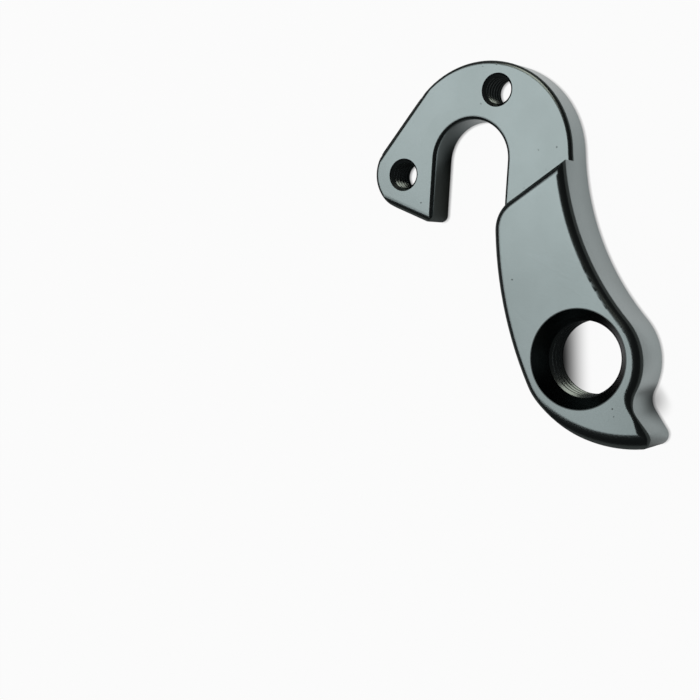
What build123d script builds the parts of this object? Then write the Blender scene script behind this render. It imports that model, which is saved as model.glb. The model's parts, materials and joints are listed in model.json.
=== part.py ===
from build123d import *
from math import acos, degrees, radians, sqrt, tan
import os

from OCP.BRepFilletAPI import BRepFilletAPI_MakeFillet

# Replaceable derailleur hanger, milled in one piece from aluminium plate.
# The origin lies on the derailleur bolt's axis in the flat outer face. +Y runs from the bolt to the
# wheel axle and +Z runs through the plate towards the frame. Lengths are millimetres, angles degrees.

# Plate and pad thicknesses
plate_thickness = 5.0
pad_thickness = 8.0

# Wheel axle and its open slot
bolt_to_axle = 29.1
slot_width = 10.0
slot_angle = 36.9

# Hook round the axle, its places measured from the axle
hook_offset = (1.45, -0.73)
hook_radius = 12.0
toe_offset = (-8.5, 3.86)
toe_radius = 4.7
toe_flank_angle = 34.4
toe_tip_land = 0.1

# Arm between the hook and the boss round the derailleur bolt, whose eye lies a little off its centre
boss_offset = (-0.05, -0.38)
boss_radius = 7.62
waist_radius = 32.7
arm_back_radius = 47.6

# Stop tab below the bolt, against which the derailleur's tension screw bears
tab_radius = 15.1
tab_lean = 8.8
tab_flank = 2.6
tab_tip_land = 0.1
notch_radius = 2.3

# Step up from the plate to the pad
step_below_axle = 8.1
pad_corner_radius = 4.2

# Derailleur bolt thread, drilled to its minor diameter
bolt_drill = 9.0
bolt_sink_diameter = 12.0
bolt_sink_angle = 60
bolt_recess_diameter = 11.4
bolt_recess_depth = 1.0
bolt_recess_chamfer = 0.3
bolt_lead_diameter = 10.2

# Frame screw threads, drilled to their minor diameter, with places measured from the axle
screw_drill = 3.3
screw_mouth = 4.2
toe_screw_offset = (-8.93, 3.97)
bend_screw_offset = (7.62, 5.07)

# Rounded edges, where finishing reaches less far into the notch
outer_edge_round = 0.8
hook_edge_round = 0.55
pad_edge_round = 1.1
notch_edge_round = 0.5


def heading(angle):
    """Unit vector at an angle from +X."""
    return Vector(1, 0).rotate(Axis.Z, angle)


def toward(start, end):
    """Unit vector from one point to another."""
    return (end - start).normalized()


def centre_right_of(start, start_reach, end, end_reach):
    """Point at given distances from two others, on the right of the line between them."""
    span = (end - start).length
    along = (start_reach**2 - end_reach**2 + span**2) / (2 * span)
    aside = sqrt(start_reach**2 - along**2)
    line = toward(start, end)
    return start + line * along + line.rotate(Axis.Z, -90) * aside


def bend(centre, start, end):
    """Arc about a centre, the short way from one point to another."""
    radius = (start - centre).length
    middle = centre + (start + end - centre * 2).normalized() * radius
    return ThreePointArc(start, middle, end)


def graded_fillet(solid, edges, round_at):
    """Solid whose edges are rounded by a radius that runs evenly from each corner to the next."""
    maker = BRepFilletAPI_MakeFillet(solid.wrapped)
    for edge in edges:
        if not maker.Contour(edge.wrapped):
            maker.Add(edge.wrapped)
    for contour in range(1, maker.NbContours() + 1):
        for number in range(1, maker.NbEdges(contour) + 1):
            edge = Edge(maker.Edge(contour, number))
            maker.SetRadius(round_at(edge @ 0), round_at(edge @ 1), contour, number)
    return Compound(maker.Shape())


def pad_round_at(corner):
    """Radius of the pad's rounded edge at one of its corners, smaller where the tab meets the notch."""
    gap = (Vector(corner.X, corner.Y) - tab_flank_high).length
    return notch_edge_round if gap < notch_radius / 10 else pad_edge_round


# Centres of the outline's round features
boss = Vector(*boss_offset)
axle = Vector(0, bolt_to_axle)
hook = axle + Vector(*hook_offset)
toe = axle + Vector(*toe_offset)

# Slot: mouth points out of it and across points from its centre line to the arm
slot_half = slot_width / 2
mouth = heading(-90 - slot_angle)
across = mouth.rotate(Axis.Z, 90)
slot_arm_side = axle + across * slot_half
slot_crown = axle - mouth * slot_half
slot_toe_side = axle - across * slot_half

# Straight back of the hook, tangent to the hook and to its toe
back_turn = acos((hook_radius - toe_radius) / (toe - hook).length)
back_normal = toward(hook, toe).rotate(Axis.Z, -degrees(back_turn))
back_start = hook + back_normal * hook_radius
back_end = toe + back_normal * toe_radius

# Toe flank and the rounded tip between the flank and the slot
toe_tip_radius = max(outer_edge_round, hook_edge_round) + toe_tip_land
flank = heading(-90 + toe_flank_angle)
flank_normal = flank.rotate(Axis.Z, -90)
flank_start = toe + flank_normal * toe_radius
flank_line = toe + flank_normal * (toe_radius - toe_tip_radius)
tip_drop = ((axle - flank_line).dot(across) - slot_half - toe_tip_radius) / flank.dot(across)
toe_tip = flank_line + flank * tip_drop
flank_end = toe_tip + flank_normal * toe_tip_radius
slot_toe_end = toe_tip + across * toe_tip_radius

# Waist on the front of the arm, tangent to the boss and to the hook
waist = centre_right_of(boss, boss_radius + waist_radius, hook, hook_radius + waist_radius)
waist_low = boss + toward(boss, waist) * boss_radius
waist_high = hook + toward(hook, waist) * hook_radius

# Back of the arm, tangent to the slot's side and to the boss
arm_reach = arm_back_radius + slot_half + (axle - boss).dot(across)
arm_run = sqrt((arm_back_radius - boss_radius) ** 2 - arm_reach**2)
arm_back = boss + across * arm_reach - mouth * arm_run
arm_back_high = arm_back - across * arm_back_radius
arm_back_low = boss - toward(boss, arm_back) * boss_radius

# Stop tab: its outer edge runs tangent off the boss to a rounded tip
tab_tip_radius = max(outer_edge_round, pad_edge_round) + tab_tip_land
tab = boss + heading(tab_lean) * (tab_radius - boss_radius)
tab_start = boss - toward(boss, tab) * boss_radius
flank_x = boss.X + tab_flank
tip_x = flank_x - tab_tip_radius
tip_y = tab.Y - sqrt((tab_radius - tab_tip_radius) ** 2 - (tip_x - tab.X) ** 2)
tab_tip = Vector(tip_x, tip_y)
tab_end = tab + toward(tab, tab_tip) * tab_radius
tab_flank_low = Vector(flank_x, tip_y)

# Notch between the stop tab and the boss
notch_run = tab_flank + notch_radius
notch_drop = sqrt((boss_radius + notch_radius) ** 2 - notch_run**2)
notch = boss + Vector(notch_run, -notch_drop)
tab_flank_high = Vector(flank_x, notch.Y)
notch_end = boss + toward(boss, notch) * boss_radius

# Heights and sizes of the pad and of the cuts
step_y = bolt_to_axle - step_below_axle
pad_root = plate_thickness / 2
bolt_radius = bolt_drill / 2
sink_radius = bolt_sink_diameter / 2
sink_depth = (sink_radius - bolt_radius) / tan(radians(bolt_sink_angle / 2))
recess_radius = bolt_recess_diameter / 2
lead_radius = bolt_lead_diameter / 2
lead_depth = lead_radius - bolt_radius
screw_places = [axle + Vector(*toe_screw_offset), axle + Vector(*bend_screw_offset)]
screw_chamfer = (screw_mouth - screw_drill) / 2

with BuildPart() as hanger:
    # Plate: the whole outline, with its rounded outer and hook edges
    with BuildSketch() as outline:
        with BuildLine():
            bend(tab_tip, tab_end, tab_flank_low)
            Line(tab_flank_low, tab_flank_high)
            bend(notch, tab_flank_high, notch_end)
            bend(boss, notch_end, waist_low)
            bend(waist, waist_low, waist_high)
            bend(hook, waist_high, back_start)
            Line(back_start, back_end)
            bend(toe, back_end, flank_start)
            Line(flank_start, flank_end)
            bend(toe_tip, flank_end, slot_toe_end)
            Line(slot_toe_end, slot_toe_side)
            ThreePointArc(slot_toe_side, slot_crown, slot_arm_side)
            Line(slot_arm_side, arm_back_high)
            bend(arm_back, arm_back_high, arm_back_low)
            bend(boss, arm_back_low, tab_start)
            bend(tab, tab_start, tab_end)
        make_face()
    extrude(amount=plate_thickness)
    fillet(hanger.faces().sort_by(Axis.Z)[0].edges(), outer_edge_round)
    fillet(hanger.faces().sort_by(Axis.Z)[-1].edges(), hook_edge_round)

    # Pad: the same outline below the step, with the step's corner over the slot rounded
    with BuildSketch(Plane.XY.offset(pad_root)) as pad:
        add(outline.sketch)
        reach = 2 * outline.sketch.bounding_box().diagonal
        with Locations((0, step_y)):
            Rectangle(reach, reach, align=(Align.CENTER, Align.MAX), mode=Mode.INTERSECT)
        fillet(pad.vertices().group_by(Axis.Y)[-1].sort_by(Axis.X)[0], pad_corner_radius)
    extrude(amount=pad_thickness - pad_root)
    pad_edges = hanger.faces().sort_by(Axis.Z)[-1].edges()
    add(graded_fillet(hanger.part, pad_edges, pad_round_at), mode=Mode.REPLACE)

    # Derailleur bolt: recess and lead-in at the outer face, tapped wall, sink at the pad
    with BuildSketch(Plane.XZ):
        with BuildLine():
            Polyline(
                (0, 0),
                (recess_radius + bolt_recess_chamfer, 0),
                (recess_radius, bolt_recess_chamfer),
                (recess_radius, bolt_recess_depth),
                (lead_radius, bolt_recess_depth),
                (bolt_radius, bolt_recess_depth + lead_depth),
                (bolt_radius, pad_thickness - sink_depth),
                (sink_radius, pad_thickness),
                (0, pad_thickness),
                close=True,
            )
        make_face()
    revolve(axis=Axis.Z, mode=Mode.SUBTRACT)

    # Frame screws: tapped holes with a chamfer at each face
    with Locations(*screw_places):
        Hole(screw_drill / 2)
    chamfer(hanger.edges(Select.LAST).filter_by(GeomType.CIRCLE), screw_chamfer)

hanger.part.label = "hanger"

os.makedirs("parts", exist_ok=True)
export_step(hanger.part, "parts/hanger.step")
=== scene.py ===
"""Dresses a bicycle derailleur hanger round its solid model and sets it on a pale studio floor."""

import json
import logging
import math
from collections.abc import Iterator
from contextlib import contextmanager
from dataclasses import dataclass
from enum import Enum
from typing import Any

import bpy
from mathutils import Matrix, Vector


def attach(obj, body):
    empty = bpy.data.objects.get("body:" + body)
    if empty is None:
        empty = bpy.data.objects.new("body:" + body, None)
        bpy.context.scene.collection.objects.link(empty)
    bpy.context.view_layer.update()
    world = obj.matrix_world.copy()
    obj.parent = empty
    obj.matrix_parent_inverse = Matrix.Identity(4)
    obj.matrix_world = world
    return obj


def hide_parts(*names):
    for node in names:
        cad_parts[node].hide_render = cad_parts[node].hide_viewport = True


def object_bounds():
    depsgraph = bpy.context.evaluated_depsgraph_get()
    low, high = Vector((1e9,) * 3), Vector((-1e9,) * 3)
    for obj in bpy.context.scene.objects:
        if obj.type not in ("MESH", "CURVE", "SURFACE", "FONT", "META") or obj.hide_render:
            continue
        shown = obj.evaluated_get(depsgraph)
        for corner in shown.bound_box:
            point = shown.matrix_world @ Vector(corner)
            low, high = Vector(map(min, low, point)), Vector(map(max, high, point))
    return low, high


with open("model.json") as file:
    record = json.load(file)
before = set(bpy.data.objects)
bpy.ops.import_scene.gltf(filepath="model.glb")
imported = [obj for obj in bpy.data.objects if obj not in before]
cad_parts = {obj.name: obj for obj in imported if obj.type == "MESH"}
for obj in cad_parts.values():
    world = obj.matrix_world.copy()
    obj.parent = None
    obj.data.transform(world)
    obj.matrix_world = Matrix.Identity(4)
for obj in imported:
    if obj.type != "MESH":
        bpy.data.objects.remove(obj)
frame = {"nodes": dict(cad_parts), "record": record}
cad_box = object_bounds()

LOG = logging.getLogger("hanger")
MM = 0.001
WELD = 0.001 * MM

Colour = tuple[float, float, float]
Place = tuple[float, float, float]


def deselect_all() -> None:
    """Leaves nothing selected, so that an operator acts only on what is chosen next."""
    bpy.ops.object.select_all(action="DESELECT")


def activate(piece: bpy.types.Object) -> None:
    """Selects one object alone and makes it the active one.

    Args:
        piece: Object to select.
    """
    deselect_all()
    piece.select_set(True)
    bpy.context.view_layer.objects.active = piece


@contextmanager
def whole_mesh(piece: bpy.types.Object) -> Iterator[None]:
    """Opens an object in edit mode with its whole mesh selected, and closes it again.

    Args:
        piece: Mesh object to open.

    Returns:
        Nothing, while the mesh is open.
    """
    activate(piece)
    bpy.ops.object.mode_set(mode="EDIT")
    bpy.ops.mesh.select_all(action="SELECT")
    yield
    bpy.ops.object.mode_set(mode="OBJECT")


def settle(piece: bpy.types.Object) -> None:
    """Moves an object's place, turn and scale into its mesh."""
    activate(piece)
    bpy.ops.object.transform_apply(location=True, rotation=True, scale=True)


def apply_modifier(piece: bpy.types.Object, kind: str, settings: dict[str, Any]) -> None:
    """Adds a modifier and applies it.

    Args:
        piece: Mesh object to change.
        kind: Blender's name of the modifier's type.
        settings: Values of the modifier's properties.
    """
    activate(piece)
    bpy.ops.object.modifier_add(type=kind)
    modifier = piece.modifiers[-1]
    for name, value in settings.items():
        setattr(modifier, name, value)
    bpy.ops.object.modifier_apply(modifier=modifier.name)


def sweep(piece: bpy.types.Object, angle: float, climb: float, turns: int, steps: int) -> None:
    """Sweeps a ring of edges round the Z axis into a closed mesh.

    Args:
        piece: Mesh object that holds the ring.
        angle: Angle of one turn, in radians.
        climb: Rise of one turn, in metres.
        turns: Number of turns.
        steps: Segments in one turn.
    """
    settings = {
        "axis": "Z",
        "angle": angle,
        "screw_offset": climb,
        "iterations": turns,
        "steps": steps,
        "render_steps": steps,
    }
    apply_modifier(piece, "SCREW", settings)
    with whole_mesh(piece):
        bpy.ops.mesh.remove_doubles(threshold=WELD)
        bpy.ops.mesh.fill_holes(sides=0)
        bpy.ops.mesh.select_all(action="SELECT")
        bpy.ops.mesh.normals_make_consistent(inside=False)


class Shade:
    """An output of a shader node that takes part in Python arithmetic."""

    def __init__(self, bench: "ShaderBench", socket: bpy.types.NodeSocket) -> None:
        """Keeps the socket and the bench that its results are added to."""
        self.bench = bench
        self.socket = socket

    def __add__(self, other: "Shade | float") -> "Shade":
        """Sum."""
        return self.bench.sum_up("ADD", self, other)

    def __sub__(self, other: "Shade | float") -> "Shade":
        """Difference."""
        return self.bench.sum_up("SUBTRACT", self, other)

    def __rsub__(self, other: float) -> "Shade":
        """Difference from a number."""
        return self.bench.sum_up("SUBTRACT", other, self)

    def __mul__(self, other: "Shade | float") -> "Shade":
        """Product."""
        return self.bench.sum_up("MULTIPLY", self, other)

    __radd__ = __add__
    __rmul__ = __mul__


class ShaderBench:
    """One material's node tree, with a single way to add a node to it."""

    def __init__(self, tree: bpy.types.NodeTree) -> None:
        """Empties the tree."""
        tree.nodes.clear()
        self.tree = tree

    def node(
        self,
        kind: str,
        settings: dict[str, Any] | None = None,
        inputs: dict[str | int, Any] | None = None,
        out: str | int = 0,
    ) -> Shade:
        """Adds a node.

        Args:
            kind: Blender's name of the node's type.
            settings: The node's own properties, set before its sockets.
            inputs: Values or shades for its sockets, by name or number.
            out: Output that the result stands for.

        Returns:
            The chosen output.
        """
        made = self.tree.nodes.new(kind)
        for name, value in (settings or {}).items():
            setattr(made, name, value)
        for name, value in (inputs or {}).items():
            if isinstance(value, Shade):
                self.tree.links.new(value.socket, made.inputs[name])
            else:
                made.inputs[name].default_value = value
        return Shade(self, made.outputs[out] if made.outputs else None)

    def sum_up(self, operation: str, left: Shade | float, right: Shade | float) -> Shade:
        """Adds a Math node for one operation on two values."""
        return self.node("ShaderNodeMath", {"operation": operation}, {0: left, 1: right})

    def fade(self, value: Shade, low: float, high: float) -> Shade:
        """Runs smoothly from 0 to 1 between two values.

        Args:
            value: What the fade follows.
            low: Value at which it is 0, which may be above the other.
            high: Value at which it is 1.

        Returns:
            The faded value.
        """
        settings = {"interpolation_type": "SMOOTHSTEP"}
        if low <= high:
            return self.node("ShaderNodeMapRange", settings, {0: value, 1: low, 2: high})
        return 1 - self.node("ShaderNodeMapRange", settings, {0: value, 1: high, 2: low})

    def along(self, spot: Shade, way: Place) -> Shade:
        """Distance of a spot along a direction."""
        settings = {"operation": "DOT_PRODUCT"}
        return self.node("ShaderNodeVectorMath", settings, {0: spot, 1: way}, out="Value")

    def span(self, spot: Shade, axis: Place) -> Shade:
        """Distance of a spot from an upright axis.

        Args:
            spot: The spot.
            axis: Any point on the axis, in metres.

        Returns:
            The level distance, in metres.
        """
        gap = self.node("ShaderNodeVectorMath", {"operation": "SUBTRACT"}, {0: spot, 1: axis})
        level = self.node("ShaderNodeVectorMath", {"operation": "MULTIPLY"}, {0: gap, 1: (1, 1, 0)})
        return self.node("ShaderNodeVectorMath", {"operation": "LENGTH"}, {0: level}, out="Value")

    def blend(self, share: Shade, first: Any, second: Any) -> Shade:
        """Mixes two colours.

        Args:
            share: How much of the second colour shows.
            first: Colour where the share is 0.
            second: Colour where the share is 1.

        Returns:
            The mixed colour.
        """
        return self.node("ShaderNodeMix", {"data_type": "RGBA"}, {0: share, 6: first, 7: second}, out=2)


@dataclass(frozen=True)
class PaintedSinkShade:
    """A sunk mouth of a hole whose colour is darkened as painted shade in the recess.

    Attributes:
        axis: Axis of the hole, in metres.
        radius: Radius of the mouth, in metres.
        floor: Height of its lower end, in metres.
        blend: Length over which its colour begins, in metres.
    """

    axis: Place
    radius: float
    floor: float
    blend: float = 0.1 * MM

    def share(self, bench: ShaderBench, spot: Shade) -> Shade:
        """How much of the painted shade shows at a spot."""
        inside = bench.fade(bench.span(spot, self.axis), self.radius + self.blend, self.radius)
        return inside * bench.fade(bench.along(spot, (0, 0, 1)), self.floor, self.floor + self.blend)


@dataclass(frozen=True)
class SatinAnodise:
    """Black anodising over finely blasted aluminium, with a satin sheen.

    Attributes:
        sink: Sunk mouth that is painted darker than the rest, as painted shade.
        colour: Dyed metal where the coat is thin.
        deep_colour: Dyed metal where the coat is thick.
        sink_shade_colour: Darker colour painted in the sunk mouth as shade.
        roughness: Mean roughness of the sheen.
        roughness_swing: How far smudges move the roughness.
        grain: Width of one dimple of the blasting, in metres.
        grain_depth: Depth of the blasting, in metres.
        grain_detail: Finer layers in the blasting.
        cloud: Width of a patch of thicker dye, in metres.
        cloud_detail: Finer layers in the patches.
        cloud_range: Levels of the patches' noise between which the dye thickens.
        pit_spacing: Mean distance between stray pits, in metres.
        pit_radius: Radius of a stray pit, in metres.
        pit_depth: Depth of a stray pit, in metres.
    """

    sink: PaintedSinkShade
    colour: Colour = (0.230, 0.273, 0.274)
    deep_colour: Colour = (0.217, 0.258, 0.258)
    sink_shade_colour: Colour = (0.06, 0.07, 0.07)
    roughness: float = 0.24
    roughness_swing: float = 0.03
    grain: float = 0.2 * MM
    grain_depth: float = 0.005 * MM
    grain_detail: float = 2.0
    cloud: float = 7 * MM
    cloud_detail: float = 3.0
    cloud_range: tuple[float, float] = (0.3, 0.7)
    pit_spacing: float = 1.8 * MM
    pit_radius: float = 0.11 * MM
    pit_depth: float = 0.03 * MM

    def material(self) -> bpy.types.Material:
        """Builds the finish from nodes that read the part's own coordinates.

        Returns:
            The finish as a material.
        """
        made = bpy.data.materials.new("satin_black_anodise")
        made.use_nodes = True
        bench = ShaderBench(made.node_tree)
        spot = bench.node("ShaderNodeTexCoord", out="Object")
        cloud = self.noise(bench, spot, self.cloud, self.cloud_detail)
        grain = self.noise(bench, spot, self.grain, self.grain_detail)
        spread = {"Vector": spot, "Scale": 1 / self.pit_spacing}
        reach = bench.node("ShaderNodeTexVoronoi", inputs=spread, out="Distance")
        pit = bench.fade(reach, self.pit_radius / self.pit_spacing, 0)
        thick = bench.fade(cloud, *self.cloud_range)
        dye = bench.blend(thick, (*self.colour, 1), (*self.deep_colour, 1))
        # Painted shade: the sunk mouth of the eye is coloured darker than the rest of the metal.
        colour = bench.blend(self.sink.share(bench, spot), dye, (*self.sink_shade_colour, 1))
        roughness = self.roughness + (cloud + grain - 1) * self.roughness_swing
        height = grain * self.grain_depth - pit * self.pit_depth
        bump = bench.node("ShaderNodeBump", inputs={"Strength": 1.0, "Distance": 1.0, "Height": height})
        sheen = {"Base Color": colour, "Metallic": 1.0, "Roughness": roughness, "Normal": bump}
        shader = bench.node("ShaderNodeBsdfPrincipled", inputs=sheen)
        bench.node("ShaderNodeOutputMaterial", inputs={"Surface": shader})
        return made

    def noise(self, bench: ShaderBench, spot: Shade, width: float, detail: float) -> Shade:
        """Noise of a given width and number of finer layers."""
        settings = {"Vector": spot, "Scale": 1 / width, "Detail": detail}
        return bench.node("ShaderNodeTexNoise", inputs=settings)


class Thread(Enum):
    """Metric thread by its nominal diameter and pitch, in metres."""

    M10_FINE = (10 * MM, 1.0 * MM)
    M4 = (4 * MM, 0.7 * MM)

    @property
    def crest_radius(self) -> float:
        """Radius at the bottom of the groove."""
        return self.value[0] / 2

    @property
    def pitch(self) -> float:
        """Climb of one turn."""
        return self.value[1]

    def groove_width(self, radius: float) -> float:
        """Width of the sixty degree groove at a radius, with its flat of an eighth of the pitch."""
        return self.pitch / 8 + 2 * (self.crest_radius - radius) * math.tan(math.radians(30))


@dataclass(frozen=True)
class TappedHole:
    """A drilled hole with a thread cut into its wall.

    Attributes:
        mount: Name of the record's mount that the hole is.
        thread: Standard that the thread follows.
        overrun: Length of groove past each end of the drilled wall, in metres.
        steps: Segments in one turn.
        backing: How far the cutter stands in from the wall, as a share of the pitch.
    """

    mount: str
    thread: Thread
    overrun: float
    steps: int
    backing: float = 0.15

    def cutter(self) -> bpy.types.Object:
        """Models the helical ridge that cuts the groove.

        Returns:
            A closed mesh in its place in the hole.
        """
        facts = next(mount for mount in frame["record"]["mounts"] if mount["name"] == self.mount)
        centre = Vector(facts["pos_m"])
        length = facts["dims"]["length_mm"] * MM + 2 * self.overrun
        inner = facts["dims"]["r_mm"] * MM - self.backing * self.thread.pitch
        outer = self.thread.crest_radius
        turns = math.ceil(length / self.thread.pitch)
        ridge = self.section(inner, outer, centre.z - turns * self.thread.pitch / 2)
        sweep(ridge, 2 * math.pi, self.thread.pitch, turns, self.steps)
        ridge.location = (centre.x, centre.y, 0)
        settle(ridge)
        return ridge

    def section(self, inner: float, outer: float, start: float) -> bpy.types.Object:
        """Models the groove's section as a ring of four edges beside the Z axis.

        Args:
            inner: Radius at the section's wide side.
            outer: Radius at its narrow side.
            start: Height of its middle.

        Returns:
            A mesh with no faces.
        """
        deselect_all()
        middle = ((inner + outer) / 2, 0, start)
        bpy.ops.mesh.primitive_plane_add(
            size=outer - inner, location=middle, rotation=(math.pi / 2, 0, 0)
        )
        ridge = bpy.context.active_object
        ridge.name = f"{self.mount}_cutter"
        settle(ridge)
        for radius in (inner, outer):
            bpy.ops.object.mode_set(mode="EDIT")
            bpy.ops.mesh.select_all(action="DESELECT")
            bpy.ops.mesh.select_mode(type="VERT")
            bpy.ops.object.mode_set(mode="OBJECT")
            for corner in ridge.data.vertices:
                corner.select = math.isclose(corner.co.x, radius, abs_tol=WELD)
            bpy.ops.object.mode_set(mode="EDIT")
            share = self.thread.groove_width(radius) / (outer - inner)
            bpy.ops.transform.resize(value=(1, 1, share), center_override=middle)
            bpy.ops.object.mode_set(mode="OBJECT")
        with whole_mesh(ridge):
            bpy.ops.mesh.delete(type="ONLY_FACE")
        return ridge


@dataclass(frozen=True)
class RolledEdge:
    """A stretch of edge that finishing has rolled over to a wider round.

    Attributes:
        name: Name of the stretch.
        axis: Upright axis that the stretch bends round, far off where it is straight, in metres.
        start: Distance from the axis at which the face begins to fall, in metres.
        face: Height of the face, in metres.
        bulge: Radius of the round, in metres.
        turn: Angles about the axis between which it lies, in degrees.
        steps: Segments along the stretch.
        slopes: Slopes at which the round begins and ends, in degrees.
        bends: Segments across the round.
        margin: How far the cutter reaches in past the start, clear of the face, in metres.
        headroom: Height of the cutter above the face, in metres.
    """

    name: str
    axis: Place
    start: float
    face: float
    bulge: float
    turn: tuple[float, float]
    steps: int
    slopes: tuple[float, float] = (3, 73)
    bends: int = 14
    margin: float = 0.2 * MM
    headroom: float = 1 * MM

    def section(self) -> list[Vector]:
        """Lays out the cutter's section in the plane of X and Z.

        Returns:
            Its corners, with the hollow round first.
        """
        low, high = (math.radians(slope) for slope in self.slopes)
        points = [Vector((self.start - self.margin, 0, self.face + self.margin * math.tan(low)))]
        for bend in range(self.bends + 1):
            slope = low + (high - low) * bend / self.bends
            out = self.bulge * (math.sin(slope) - math.sin(low))
            down = self.bulge * (math.cos(low) - math.cos(slope))
            points.append(Vector((self.start + out, 0, self.face - down)))
        top = self.face + self.headroom
        points.append(Vector((points[-1].x, 0, top)))
        points.append(Vector((points[0].x, 0, top)))
        return points

    def cutter(self) -> bpy.types.Object:
        """Models the bar that cuts the round.

        Returns:
            A closed mesh in its place over the edge.
        """
        points = self.section()
        deselect_all()
        bpy.ops.mesh.primitive_plane_add(size=MM)
        bar = bpy.context.active_object
        bar.name = f"{self.name}_cutter"
        with whole_mesh(bar):
            bpy.ops.mesh.merge(type="CENTER")
            bpy.ops.transform.translate(value=points[0])
            for here, there in zip(points, points[1:]):
                bpy.ops.mesh.extrude_region_move(TRANSFORM_OT_translate={"value": there - here})
            bpy.ops.mesh.select_all(action="SELECT")
            bpy.ops.mesh.edge_face_add()
            bpy.ops.mesh.delete(type="ONLY_FACE")
        sweep(bar, math.radians(self.turn[1] - self.turn[0]), 0, 1, self.steps)
        bar.rotation_euler.z = math.radians(self.turn[0])
        bar.location = self.axis
        settle(bar)
        return bar


@dataclass(frozen=True)
class HangerPlate:
    """The milled plate with its rolled edges and threads.

    Attributes:
        node: Solid that the plate stands for.
        slot: Record's material slot; not used.
        edges: Stretches of edge that finishing has rolled over.
        holes: Threaded holes through the plate.
        flat: Angle below which neighbouring triangles become one face, in degrees.
        crease: Angle above which an edge stays sharp, in degrees.
    """

    node: str
    slot: str
    edges: tuple[RolledEdge, ...]
    holes: tuple[TappedHole, ...]
    flat: float = 0.1
    crease: float = 25

    def build(self) -> bpy.types.Object:
        """Copies the solid's mesh, joins its triangles and cuts the rolled edges and the threads.

        Returns:
            The finished piece, riding on the root body.
        """
        source = frame["nodes"][self.node]
        plate = bpy.data.objects.new("threaded_hanger", source.data.copy())
        bpy.context.scene.collection.objects.link(plate)
        plate.data.materials.clear()
        with whole_mesh(plate):
            bpy.ops.mesh.customdata_custom_splitnormals_clear()
            bpy.ops.mesh.remove_doubles(threshold=WELD)
            bpy.ops.mesh.dissolve_limited(angle_limit=math.radians(self.flat))
        for feature in self.edges + self.holes:
            cutter = feature.cutter()
            cut = {"operation": "DIFFERENCE", "solver": "EXACT", "object": cutter}
            apply_modifier(plate, "BOOLEAN", cut)
            bpy.data.objects.remove(cutter)
        with whole_mesh(plate):
            bpy.ops.mesh.remove_doubles(threshold=WELD)
            bpy.ops.mesh.dissolve_degenerate(threshold=WELD)
        bpy.ops.object.shade_smooth_by_angle(angle=math.radians(self.crease))
        apply_modifier(plate, "WEIGHTED_NORMAL", {"mode": "FACE_AREA", "keep_sharp": True})
        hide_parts(self.node)
        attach(plate, "root")
        return plate

    def dress(self, plate: bpy.types.Object, finish: SatinAnodise) -> None:
        """Gives the plate its finish."""
        plate.data.materials.append(finish.material())


@dataclass(frozen=True)
class Softbox:
    """A soft lamp that faces the part.

    Attributes:
        name: Name of the lamp.
        heading: Direction from the part to the lamp.
        distance: Distance from the part, in metres.
        width: Width and height of the lamp's face, in metres.
        brightness: Radiance of the face, where 1 shows as white.
        colour: Tint of the light.
    """

    name: str
    heading: Place
    distance: float
    width: tuple[float, float]
    brightness: float
    colour: Colour = (1, 1, 1)

    def build(self, aim: Vector) -> None:
        """Hangs the lamp.

        Args:
            aim: Point that it faces, in metres.
        """
        back = Vector(self.heading).normalized()
        deselect_all()
        bpy.ops.object.light_add(type="AREA", location=aim + back * self.distance)
        lamp = bpy.context.active_object
        lamp.name = self.name
        lamp.rotation_mode = "QUATERNION"
        lamp.rotation_quaternion = (-back).to_track_quat("-Z", "Y")
        lamp.data.shape = "RECTANGLE"
        lamp.data.size, lamp.data.size_y = self.width
        lamp.data.energy = self.brightness * math.pi * self.width[0] * self.width[1]
        lamp.data.color = self.colour


@dataclass(frozen=True)
class PaintedFloorShadow:
    """A soft shadow painted on the floor by place, not cast by a lamp.

    Attributes:
        centre: Middle of the shadow, in metres.
        reach: Distance from the middle at which it ends, in metres.
        core: Distance from the middle up to which it is full, in metres.
        depth: Share of the light that it takes.
        way: Direction across the floor that it fades along.
        fade: Places along that direction between which it fades, in metres.
    """

    centre: Place
    reach: float
    core: float
    depth: float
    way: Place
    fade: tuple[float, float]

    def light(self, bench: ShaderBench, spot: Shade) -> Shade:
        """Share of the light that the painted shadow leaves at a spot."""
        dark = bench.fade(bench.along(spot, self.way), self.fade[1], self.fade[0])
        return 1 - dark * bench.fade(bench.span(spot, self.centre), self.reach, self.core) * self.depth


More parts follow.
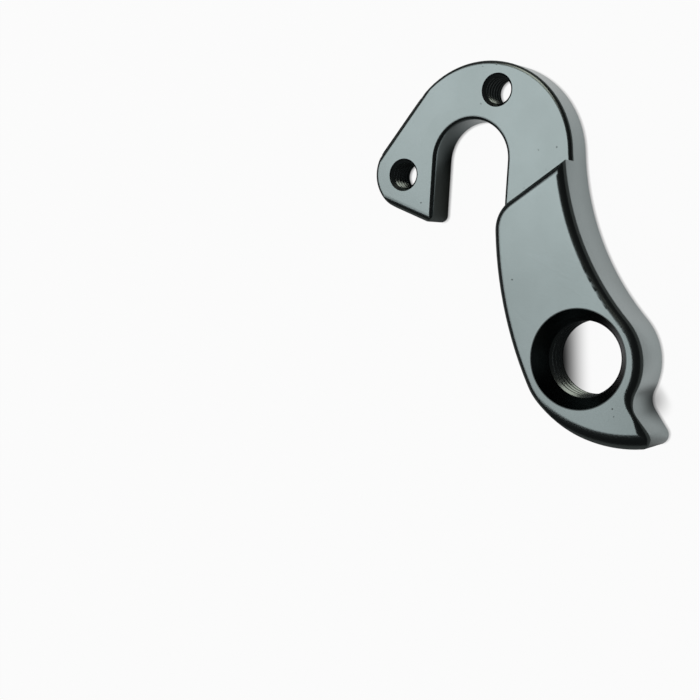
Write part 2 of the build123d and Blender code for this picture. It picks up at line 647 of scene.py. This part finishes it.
@dataclass(frozen=True)
class StudioFloor:
    """A pale floor that runs to the horizon.

    Attributes:
        shadows: Painted shadows in the part's eye and notch.
        reach: Length of its sides, in metres.
        shift: How far its middle lies from the part along X, in metres.
        drop: Gap below the part that keeps their faces apart, in metres.
        colour: Colour of the floor.
        glow: How white the floor shows by itself, from 0 to 1.
        contact: How far painted shade dims the floor at a wall's foot, in metres.
        pool: How far from the part the metal mirrors a painted pool of white floor, in metres.
        dim_to: Place across the part up to which the painted pool is dim, in metres.
        bright_from: Place across the part from which the painted pool is white, in metres.
        slant: How much the line between the dim and the white floor leans, as X over Y.
        far_open: Openness at which the mirrored floor is dim and white, coming in to the part.
        foot_open: Openness at which the mirrored floor has full painted shade and is white, going out
            from a wall's foot.
        samples: Rays that measure the openness.
    """

    shadows: tuple[PaintedFloorShadow, ...]
    reach: float = 60.0
    shift: float = 15.0
    drop: float = 0.02 * MM
    colour: Colour = (0.42, 0.42, 0.42)
    glow: float = 0.96
    contact: float = 0.45 * MM
    pool: float = 6 * MM
    dim_to: float = -2 * MM
    bright_from: float = 4 * MM
    slant: float = -0.05
    far_open: tuple[float, float] = (1.0, 0.75)
    foot_open: tuple[float, float] = (0, 0.85)
    samples: int = 8

    def build(self) -> None:
        """Lays the floor just below the part."""
        deselect_all()
        bpy.ops.mesh.primitive_plane_add(size=self.reach, location=(self.shift, 0, -self.drop))
        floor = bpy.context.active_object
        floor.name = "floor"
        floor.data.materials.append(self.material())

    def material(self) -> bpy.types.Material:
        """Builds a matt grey that shows white to the eye, with painted shade at walls' feet and painted
        shadows, and that the metal mirrors as a painted pool of white beside the part.

        Returns:
            The floor's material.
        """
        made = bpy.data.materials.new("floor_white")
        made.use_nodes = True
        bench = ShaderBench(made.node_tree)
        seen = bench.node("ShaderNodeLightPath", out="Is Camera Ray")
        mirrored = bench.node("ShaderNodeLightPath", out="Is Glossy Ray")
        passed = bench.node("ShaderNodeLightPath", out="Is Transmission Ray")
        matt = bench.node("ShaderNodeBsdfDiffuse", inputs={"Color": (*self.colour, 1)})
        white = bench.node("ShaderNodeEmission", inputs={"Color": (1, 1, 1, 1), "Strength": 1.0})
        spot = bench.node("ShaderNodeNewGeometry", out="Position")
        # Painted shade: the white that the eye sees dims where nearby walls hide the floor's sky.
        close = self.openness(bench, self.contact)
        wide = self.openness(bench, self.pool)
        # Painted light: the metal mirrors a white floor only in a pool near the part and on its +X
        # side, and a dark floor elsewhere.
        near = bench.fade(wide, *self.far_open)
        lit = bench.fade(bench.along(spot, (1, -self.slant, 0)), self.dim_to, self.bright_from)
        pale = bench.fade(wide, *self.foot_open) * near * lit
        # Painted shadows: each dims the white that the eye sees, and twice over the white that the
        # metal mirrors.
        for shadow in self.shadows:
            light = shadow.light(bench, spot)
            close = close * light
            pale = pale * light * light
        share = (seen * close + (mirrored + passed) * pale) * self.glow
        surface = bench.node("ShaderNodeMixShader", inputs={0: share, 1: matt, 2: white})
        bench.node("ShaderNodeOutputMaterial", inputs={"Surface": surface})
        return made

    def openness(self, bench: ShaderBench, reach: float) -> Shade:
        """Share of the sky that nothing within the reach hides from the floor."""
        settings = {"samples": self.samples}
        return bench.node("ShaderNodeAmbientOcclusion", settings, {"Distance": reach}, out="AO")


@dataclass(frozen=True)
class PhotoCamera:
    """Camera at the photograph's place.

    Attributes:
        place: Place of the lens, in metres.
        aim: Point on the floor in the middle of the picture, in metres.
        roll: Turn about the line of sight, in degrees.
        lens: Focal length on a 36 mm sensor, in millimetres.
        nearest: Distance from which things show, as a share of the distance to the aim.
    """

    place: Place = (57.336 * MM, -25.588 * MM, 156.84 * MM)
    aim: Place = (-31.038 * MM, 19.727 * MM, 0)
    roll: float = -94.893
    lens: float = 69.34
    nearest: float = 0.01

    def build(self) -> None:
        """Sets the scene's camera."""
        place = Vector(self.place)
        sight = Vector(self.aim) - place
        roll = Matrix.Rotation(math.radians(self.roll), 3, "Z")
        turn = sight.to_track_quat("-Z", "Y").to_matrix() @ roll
        deselect_all()
        bpy.ops.object.camera_add(location=place)
        camera = bpy.context.active_object
        camera.rotation_euler = turn.to_euler()
        camera.data.lens = self.lens
        camera.data.clip_start = sight.length * self.nearest
        bpy.context.scene.camera = camera


@dataclass(frozen=True)
class Studio:
    """Floor, light and camera round the part.

    Attributes:
        floor: The floor.
        lamps: Soft lamps.
        room: Colour of the room that the metal mirrors behind the lamps.
        backdrop: Colour of the backdrop that the eye sees beyond the floor.
        camera: The camera.
    """

    floor: StudioFloor
    lamps: tuple[Softbox, ...]
    room: Colour
    backdrop: Colour
    camera: PhotoCamera

    def build(self) -> None:
        """Sets up the studio round the solid's box."""
        middle = (cad_box[0] + cad_box[1]) / 2
        self.floor.build()
        for lamp in self.lamps:
            lamp.build(middle)
        world = bpy.data.worlds.new("studio_room")
        world.use_nodes = True
        bench = ShaderBench(world.node_tree)
        seen = bench.node("ShaderNodeLightPath", out="Is Camera Ray")
        colour = bench.blend(seen, (*self.room, 1), (*self.backdrop, 1))
        air = bench.node("ShaderNodeBackground", inputs={"Color": colour, "Strength": 1.0})
        bench.node("ShaderNodeOutputWorld", inputs={"Surface": air})
        bpy.context.scene.world = world
        bpy.context.scene.view_settings.view_transform = "Standard"
        self.camera.build()


def hanger_plate() -> HangerPlate:
    """Lists the plate's rolled edges and threaded holes.

    Returns:
        The plate, not yet built.
    """
    pad_face = 8 * MM
    hook_face = 5 * MM
    tab_edge = RolledEdge(
        "tab_edge",
        axis=(8.705 * MM, 3.124 * MM, 0),
        start=15.83 * MM,
        face=pad_face,
        bulge=2.3 * MM,
        turn=(178, 264),
        steps=86,
    )
    toe_edge = RolledEdge(
        "toe_edge",
        axis=(812.73 * MM, 595.27 * MM, 0),
        start=998.9 * MM,
        face=hook_face,
        bulge=1.25 * MM,
        turn=(214.2, 214.95),
        steps=1,
    )
    back_edge = RolledEdge(
        "back_edge",
        axis=(290.43 * MM, -916.42 * MM, 0),
        start=999.3 * MM,
        face=hook_face,
        bulge=0.8 * MM,
        turn=(106.65, 107.75),
        steps=1,
    )
    holes = (
        TappedHole("derailleur_thread", Thread.M10_FINE, overrun=1.2 * MM, steps=96),
        TappedHole("toe_screw", Thread.M4, overrun=1.2 * MM, steps=48),
        TappedHole("bend_screw", Thread.M4, overrun=1.2 * MM, steps=48),
    )
    return HangerPlate("hanger", "anodised_aluminium", (tab_edge, toe_edge, back_edge), holes)


def photo_studio() -> Studio:
    """Lists the floor's painted shadows and the lamps.

    Returns:
        The studio, not yet built.
    """
    # Painted shadows: a one-sided shadow inside the eye and a round pool of shade at the notch's foot.
    eye = PaintedFloorShadow(
        centre=(0, 0, 0),
        reach=6.5 * MM,
        core=5.5 * MM,
        depth=1.0,
        way=(0.86, -0.51, 0),
        fade=(-5.5 * MM, -1.4 * MM),
    )
    notch = PaintedFloorShadow(
        centre=(2.2 * MM, -7.6 * MM, 0),
        reach=3.4 * MM,
        core=0,
        depth=0.65,
        way=(1, 0, 0),
        fade=(4 * MM, 5 * MM),
    )
    window = Softbox(
        "window",
        heading=(-0.446, 0.2575, 0.857),
        distance=0.40,
        width=(0.291, 0.291),
        brightness=1.2,
    )
    window_side = Softbox(
        "window_side",
        heading=(-0.157, 0.4905, 0.857),
        distance=0.40,
        width=(0.214, 0.291),
        brightness=0.7,
    )
    lamp = Softbox(
        "lamp",
        heading=(0.405, 0.623, 0.669),
        distance=0.40,
        width=(0.17, 0.24),
        brightness=1.6,
        colour=(1, 0.93, 0.8),
    )
    return Studio(
        floor=StudioFloor((eye, notch)),
        lamps=(window, window_side, lamp),
        room=(0.02, 0.02, 0.02),
        backdrop=(0.96, 0.96, 0.96),
        camera=PhotoCamera(),
    )


def main() -> None:
    """Builds the plate and the studio."""
    logging.basicConfig(level=logging.INFO)
    hanger = hanger_plate()
    plate = hanger.build()
    # Painted shade: the eye's sunk mouth is coloured darker by its place.
    sink = PaintedSinkShade(axis=(0, 0, 0), radius=6.05 * MM, floor=5.4 * MM)
    hanger.dress(plate, SatinAnodise(sink))
    LOG.info("%s has %d faces", plate.name, len(plate.data.polygons))
    photo_studio().build()


if __name__ == "__main__":
    main()
